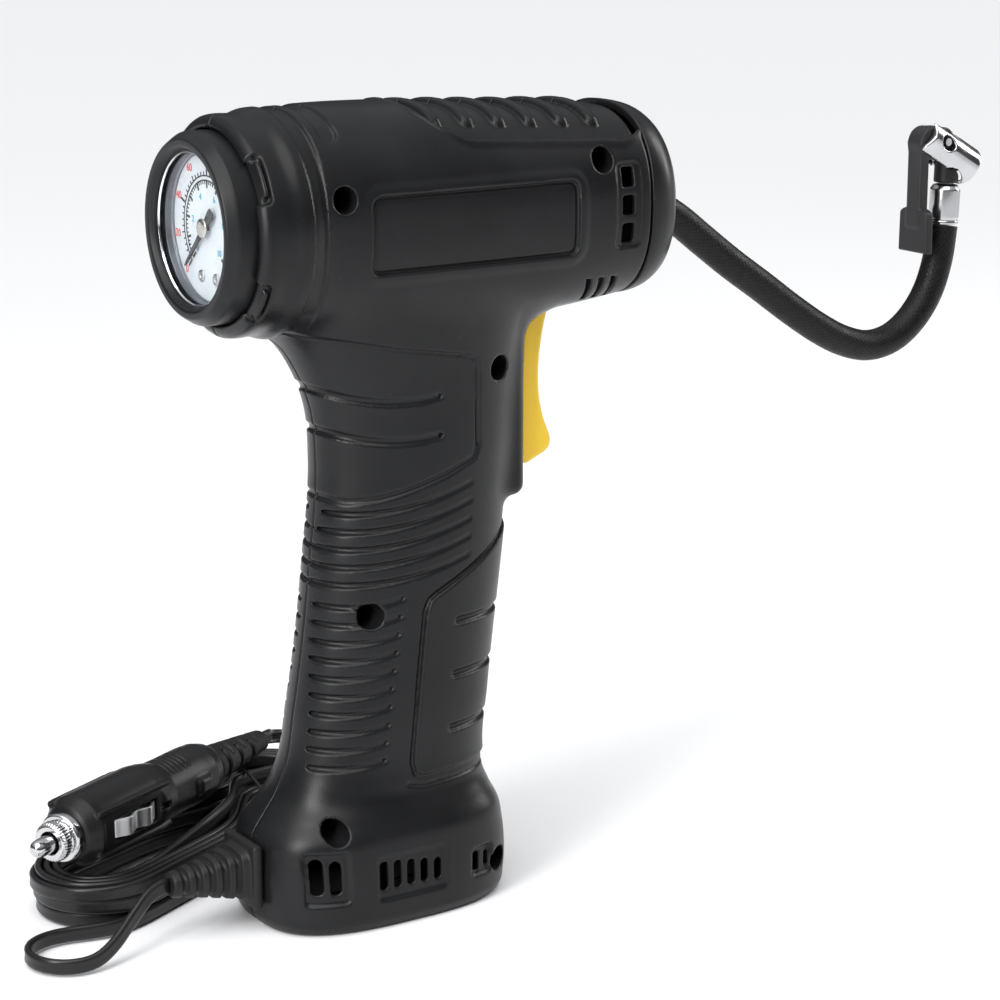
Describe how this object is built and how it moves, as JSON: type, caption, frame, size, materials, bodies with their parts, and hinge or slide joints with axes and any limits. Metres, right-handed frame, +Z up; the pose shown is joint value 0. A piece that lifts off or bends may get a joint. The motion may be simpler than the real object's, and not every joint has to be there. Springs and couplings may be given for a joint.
{
  "type": "handheld air compressor",
  "caption": "Pistol-shaped handheld 12 V air compressor with a front pressure gauge, squeeze trigger, braided hose with a lever chuck, and a tied supply cord with a vehicle socket plug.",
  "frame": {"origin": "middle of the pump's own box, without its free hose and supply cord, on the surface it stands on", "axes": "+Z up, the gauge faces -X, the hose leaves towards +X, the case halves meet in the plane y = 0"},
  "size_m": [0.323, 0.1263, 0.226],
  "materials": {
    "alloy": "die cast",
    "bezel_plastic": "gloss black",
    "brass": "machined",
    "case_plastic": "satin black moulded",
    "chrome": "bright",
    "clear_plastic": "clear",
    "cord_pvc": "satin black",
    "dark_plastic": "dark",
    "dial_paint": "white",
    "ferrite": "sintered",
    "glass": "clear tube",
    "hose_braid": "textile braid over rubber",
    "nylon": "natural",
    "pointer_paint": "black",
    "rubber": "matt black",
    "steel": "bright",
    "yellow_plastic": "yellow moulded"
  },
  "bodies": {
    "casing": {"air_hose": "hose_braid", "air_tube": "nylon", "bourdon_tube": "brass", "case_screw_1": "steel", "case_screw_2": "steel", "case_screw_3": "steel", "case_screw_4": "steel", "case_screw_5": "steel", "case_screw_6": "steel", "chuck_body": "chrome", "chuck_seal": "rubber", "cord_boot": "rubber", "cord_hank": "cord_pvc", "cord_tie": "cord_pvc", "cylinder": "alloy", "cylinder_head": "alloy", "drive_bracket": "steel", "gauge_bezel": "bezel_plastic", "gauge_case": "alloy", "gauge_dial": "dial_paint", "gauge_lens": "clear_plastic", "gauge_stem": "brass", "gear_axle": "steel", "hose_barb": "brass", "hose_ferrule": "chrome", "housing_left": "case_plastic", "housing_right": "case_plastic", "lever_pin": "steel", "motor_can": "steel", "motor_end_cap": "dark_plastic", "motor_magnet_left": "ferrite", "motor_magnet_right": "ferrite", "outlet_valve": "rubber", "plug_body": "case_plastic", "plug_boot": "rubber", "plug_cord": "cord_pvc", "plug_fuse": "glass", "plug_nose_ring": "chrome", "plug_pin_spring": "steel", "power_cord": "cord_pvc", "rear_cap": "case_plastic", "switch_body": "dark_plastic", "trigger_spring": "steel", "valve_spring": "steel"},
    "trigger": {"trigger": "yellow_plastic", "switch_plunger": "nylon"},
    "pointer": {"gauge_pointer": "pointer_paint"},
    "rotor": {"motor_rotor": "steel", "motor_pinion": "brass"},
    "crank_gear": {"drive_gear": "nylon", "gear_bush": "brass", "crank_pin": "steel"},
    "piston": {"con_rod": "alloy", "piston_cup": "rubber"},
    "lever": {"chuck_lever": "dark_plastic"},
    "plug_tip": {"plug_pin": "chrome"},
    "contact_left": {"plug_contact_left": "chrome"},
    "contact_right": {"plug_contact_right": "chrome"}
  },
  "joints": [
    {"name": "trigger_slide", "type": "slide", "parent": "casing", "child": "trigger", "axis": [-1, 0, 0], "range_m": [0, 0.005], "stiffness_N_per_m": 600, "springref_m": -0.004, "deforming": ["trigger_spring"]},
    {"name": "pointer_turn", "type": "hinge", "parent": "casing", "child": "pointer", "pos_m": [-0.0664, 0, 0.1956], "axis": [1, 0, 0], "range_deg": [0, 270], "stiffness_Nm_per_rad": 0.0004, "springref_deg": -17.19},
    {"name": "rotor_spin", "type": "hinge", "parent": "casing", "child": "rotor", "pos_m": [-0.014, 0, 0.118], "axis": [0, 0, 1], "continuous": true},
    {"name": "gear_spin", "type": "hinge", "parent": "casing", "child": "crank_gear", "pos_m": [0.011, 0, 0.177], "axis": [0, 0, 1], "continuous": true},
    {"name": "piston_slide", "type": "slide", "parent": "casing", "child": "piston", "axis": [1, 0, 0], "range_m": [-0.014, 0]},
    {"name": "lever_turn", "type": "hinge", "parent": "casing", "child": "lever", "pos_m": [0.1862, 0, 0.2024], "axis": [0, 1, 0], "range_deg": [0, 90]},
    {"name": "plug_pin_slide", "type": "slide", "parent": "casing", "child": "plug_tip", "axis": [0.891, 0.454, 0], "range_m": [0, 0.004], "stiffness_N_per_m": 500, "springref_m": -0.004, "deforming": ["plug_pin_spring"]},
    {"name": "contact_left_slide", "type": "slide", "parent": "casing", "child": "contact_left", "axis": [0.454, -0.891, 0], "range_m": [0, 0.0015], "stiffness_N_per_m": 900, "springref_m": -0.001},
    {"name": "contact_right_slide", "type": "slide", "parent": "casing", "child": "contact_right", "axis": [-0.454, 0.891, 0], "range_m": [0, 0.0015], "stiffness_N_per_m": 900, "springref_m": -0.001}
  ],
  "couplings": [
    {"joint": "gear_spin", "follows": "rotor_spin", "ratio": -0.25}
  ]
}
